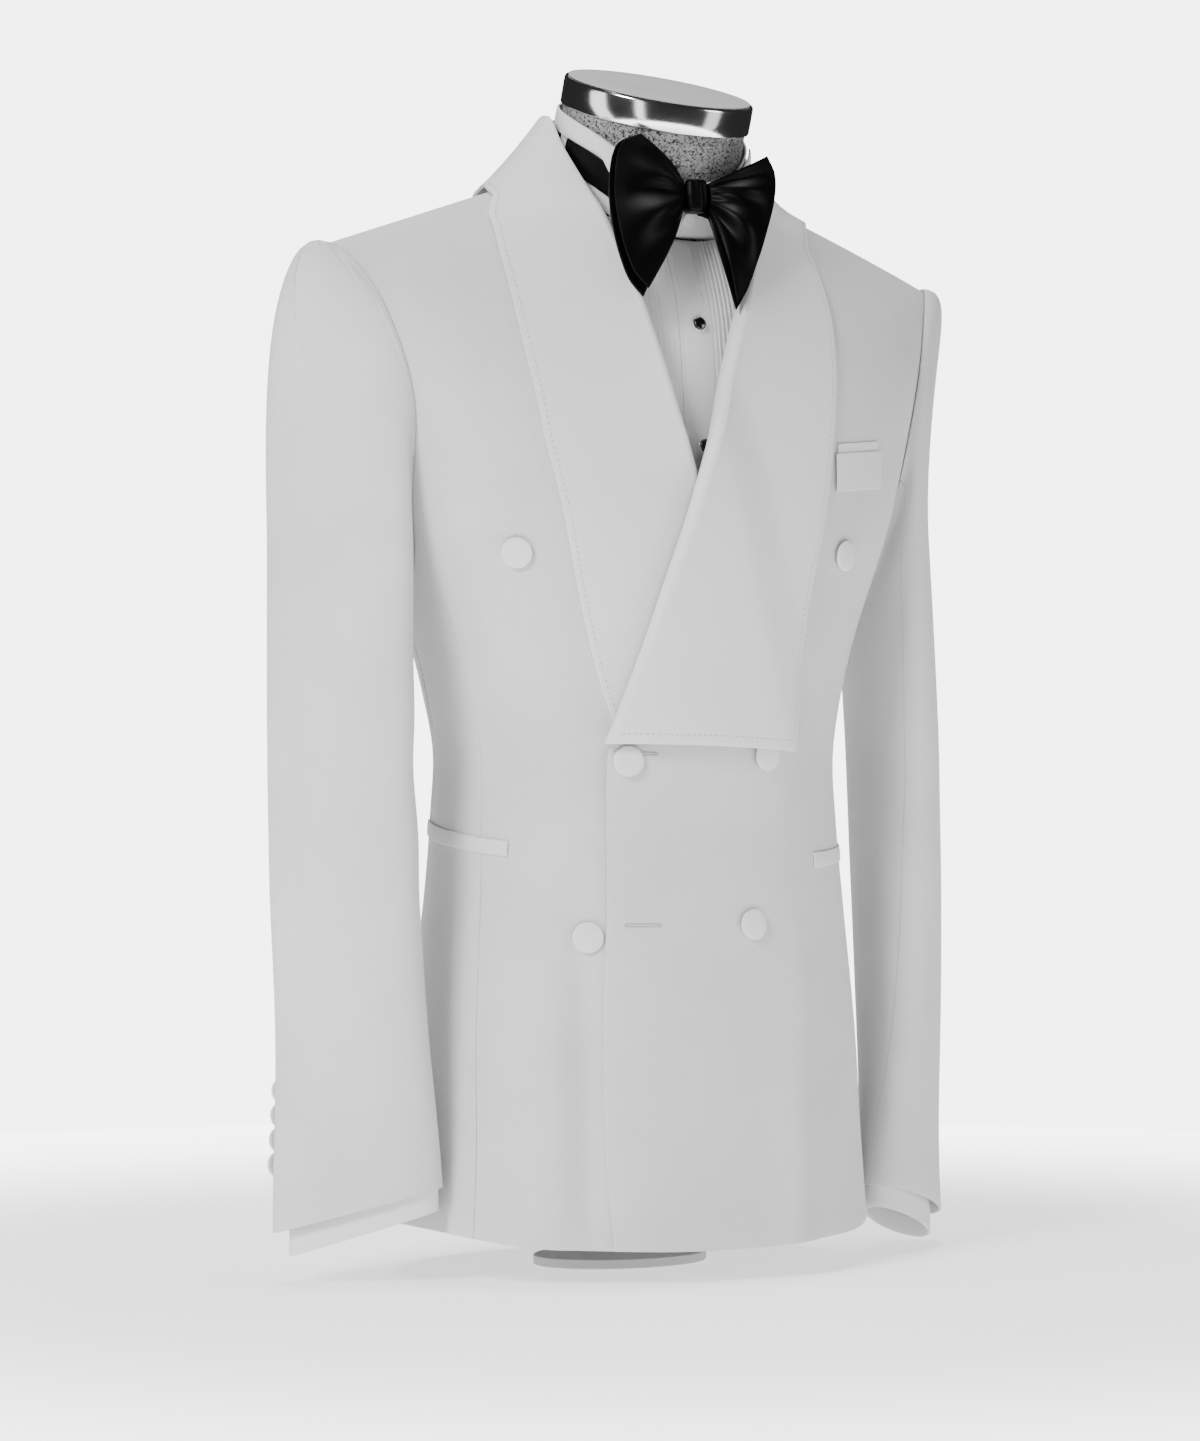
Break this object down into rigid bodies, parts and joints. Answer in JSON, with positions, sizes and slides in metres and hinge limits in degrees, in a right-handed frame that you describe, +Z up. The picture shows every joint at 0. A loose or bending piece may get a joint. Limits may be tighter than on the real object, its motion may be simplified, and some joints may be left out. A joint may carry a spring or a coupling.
{
  "type": "tuxedo on a dress form",
  "caption": "Pale double-breasted dinner jacket with wide shawl lapels, pleated shirt, black butterfly bow tie and pocket square, on a limbless dress form with a small foot.",
  "frame": {"origin": "on the flat underside of the foot, below the middle of the wearer's body", "axes": "+Z up, the front of the jacket faces -Y, the wearer's left is +X"},
  "size_m": [0.5084, 0.2662, 0.8006],
  "materials": {
    "weave": "fine basket weave wool, pale grey-white, matte",
    "satin": "smooth satin facing, pale grey-white, soft sheen",
    "shirting": "plain white cotton",
    "silk": "black silk satin",
    "stud": "black face in a bright rim",
    "pearl": "pearly shirt button",
    "chrome": "polished",
    "cap": "flat disc, mid grey",
    "knit": "salt-and-pepper heather knit",
    "foot": "plain pale coat"
  },
  "bodies": {
    "root": {"front_left": "weave", "front_right": "weave", "back_left": "weave", "back_right": "weave", "side_left": "weave", "side_right": "weave", "sleeve_upper_left": "weave", "sleeve_under_left": "weave", "sleeve_upper_right": "weave", "sleeve_under_right": "weave", "collar_left": "satin", "collar_right": "satin", "button_top_right": "satin", "button_top_left": "satin", "button_middle_right": "satin", "button_middle_left": "satin", "button_bottom_right": "satin", "button_bottom_left": "satin", "welt_breast": "satin", "welt_hip_left": "satin", "welt_hip_right": "satin", "cuff_button_left_1": "satin", "cuff_button_left_2": "satin", "cuff_button_left_3": "satin", "cuff_button_left_4": "satin", "cuff_button_right_1": "satin", "cuff_button_right_2": "satin", "cuff_button_right_3": "satin", "cuff_button_right_4": "satin", "shirt_cuff_left": "shirting", "shirt_cuff_right": "shirting", "shirt_collar": "shirting", "shirt_wing_left": "shirting", "shirt_wing_right": "shirting", "shirt_front_left": "shirting", "shirt_front_right": "shirting", "shirt_placket": "shirting", "pocket_square": "shirting", "bow_band_left": "silk", "bow_band_right": "silk", "bow_knot": "silk", "bow_front_left": "silk", "bow_rear_left": "silk", "bow_front_right": "silk", "bow_rear_right": "silk", "stud_upper": "stud", "stud_lower": "stud", "collar_button": "pearl", "form_neck_ring": "chrome", "form_cap": "cap", "form_body": "knit", "form_foot": "foot"}
  },
  "joints": []
}
